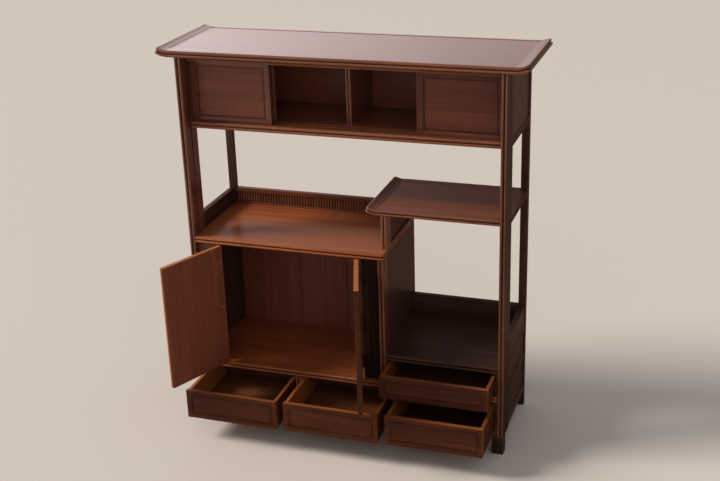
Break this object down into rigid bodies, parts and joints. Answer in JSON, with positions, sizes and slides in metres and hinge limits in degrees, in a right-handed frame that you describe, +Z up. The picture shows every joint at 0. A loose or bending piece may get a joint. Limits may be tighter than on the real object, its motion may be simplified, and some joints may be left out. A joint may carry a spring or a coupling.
{
  "type": "tea cabinet",
  "caption": "Tall open tea cabinet with an upswept top board, sliding doors above, staggered shelves, a hinged cupboard and low drawers.",
  "frame": {"origin": "bottom centre of the box round the whole piece at rest, doors and drawers open as pictured; on the floor plane", "axes": "+X to the right seen from the front, the front faces -Y, +Z up"},
  "size_m": [1.0084, 0.4978, 1.0933],
  "materials": {
    "red_lacquer": "rosewood under clear gloss lacquer, reddish brown",
    "dark_lacquer": "rosewood under clear gloss lacquer, dark brown",
    "door_veneer": "satin stained veneer with solid edges",
    "drawer_wood": "satin stained wood, orange brown",
    "hinge_brass": "aged brass, satin"
  },
  "bodies": {
    "carcass": {"top_rails": "red_lacquer", "top_end_left": "red_lacquer", "top_end_right": "red_lacquer", "top_panel": "red_lacquer", "post_front_left": "red_lacquer", "post_front_right": "red_lacquer", "post_rear_left": "dark_lacquer", "post_rear_right": "dark_lacquer", "feet_front": "dark_lacquer", "post_mid_front": "red_lacquer", "post_mid_rear": "dark_lacquer", "strut_upper": "red_lacquer", "upper_floor": "red_lacquer", "upper_head": "red_lacquer", "upper_back": "drawer_wood", "upper_sides": "dark_lacquer", "partition": "red_lacquer", "left_shelf": "red_lacquer", "gallery_back": "red_lacquer", "gallery_slats": "dark_lacquer", "gallery_left": "dark_lacquer", "stagger_end": "red_lacquer", "stagger_frame": "red_lacquer", "stagger_panel": "red_lacquer", "stagger_gallery": "dark_lacquer", "cabinet_floor": "red_lacquer", "cabinet_back": "drawer_wood", "cabinet_side_left": "dark_lacquer", "cabinet_side_right": "dark_lacquer", "strip_left": "red_lacquer", "strip_right": "red_lacquer", "niche_floor": "red_lacquer", "niche_back": "red_lacquer", "niche_side": "dark_lacquer", "side_lower_right": "dark_lacquer", "base_rails": "red_lacquer", "drawer_dividers": "red_lacquer", "drawer_runners": "drawer_wood", "drawer_backs": "drawer_wood", "hinge_leaves_fixed": "hinge_brass"},
    "sliding_door_1": {"slide_frame_1": "red_lacquer", "slide_panel_1": "red_lacquer"},
    "sliding_door_2": {"slide_frame_2": "red_lacquer", "slide_panel_2": "red_lacquer"},
    "sliding_door_3": {"slide_frame_3": "red_lacquer", "slide_panel_3": "red_lacquer"},
    "sliding_door_4": {"slide_frame_4": "red_lacquer", "slide_panel_4": "red_lacquer"},
    "left_door": {"door_left": "door_veneer", "hinge_leaves_left": "hinge_brass"},
    "right_door": {"door_right": "door_veneer", "hinge_leaves_right": "hinge_brass"},
    "left_drawer": {"drawer_front_left": "red_lacquer", "drawer_box_left": "drawer_wood"},
    "middle_drawer": {"drawer_front_middle": "red_lacquer", "drawer_box_middle": "drawer_wood"},
    "right_drawer": {"drawer_front_right": "red_lacquer", "drawer_box_right": "drawer_wood"},
    "upper_drawer": {"drawer_front_upper": "red_lacquer", "drawer_box_upper": "drawer_wood"}
  },
  "joints": [
    {"name": "slide_1", "type": "slide", "parent": "carcass", "child": "sliding_door_1", "axis": [1, 0, 0], "range_m": [0, 0.2022]},
    {"name": "slide_2", "type": "slide", "parent": "carcass", "child": "sliding_door_2", "axis": [1, 0, 0], "range_m": [-0.0065, 0.1957]},
    {"name": "slide_3", "type": "slide", "parent": "carcass", "child": "sliding_door_3", "axis": [-1, 0, 0], "range_m": [-0.0065, 0.1957]},
    {"name": "slide_4", "type": "slide", "parent": "carcass", "child": "sliding_door_4", "axis": [-1, 0, 0], "range_m": [0, 0.2022]},
    {"name": "left_door_hinge", "type": "hinge", "parent": "carcass", "child": "left_door", "pos_m": [-0.3689, -0.045, 0.359], "axis": [0, 0, -1], "range_deg": [-114, 4]},
    {"name": "right_door_hinge", "type": "hinge", "parent": "carcass", "child": "right_door", "pos_m": [0.0509, -0.045, 0.359], "axis": [0, 0, 1], "range_deg": [-108.5, 1]},
    {"name": "left_drawer_slide", "type": "slide", "parent": "carcass", "child": "left_drawer", "axis": [0, -1, 0], "range_m": [-0.153, 0.047]},
    {"name": "middle_drawer_slide", "type": "slide", "parent": "carcass", "child": "middle_drawer", "axis": [0, -1, 0], "range_m": [-0.149, 0.051]},
    {"name": "right_drawer_slide", "type": "slide", "parent": "carcass", "child": "right_drawer", "axis": [0, -1, 0], "range_m": [-0.143, 0.057]},
    {"name": "upper_drawer_slide", "type": "slide", "parent": "carcass", "child": "upper_drawer", "axis": [0, -1, 0], "range_m": [-0.087, 0.113]}
  ]
}
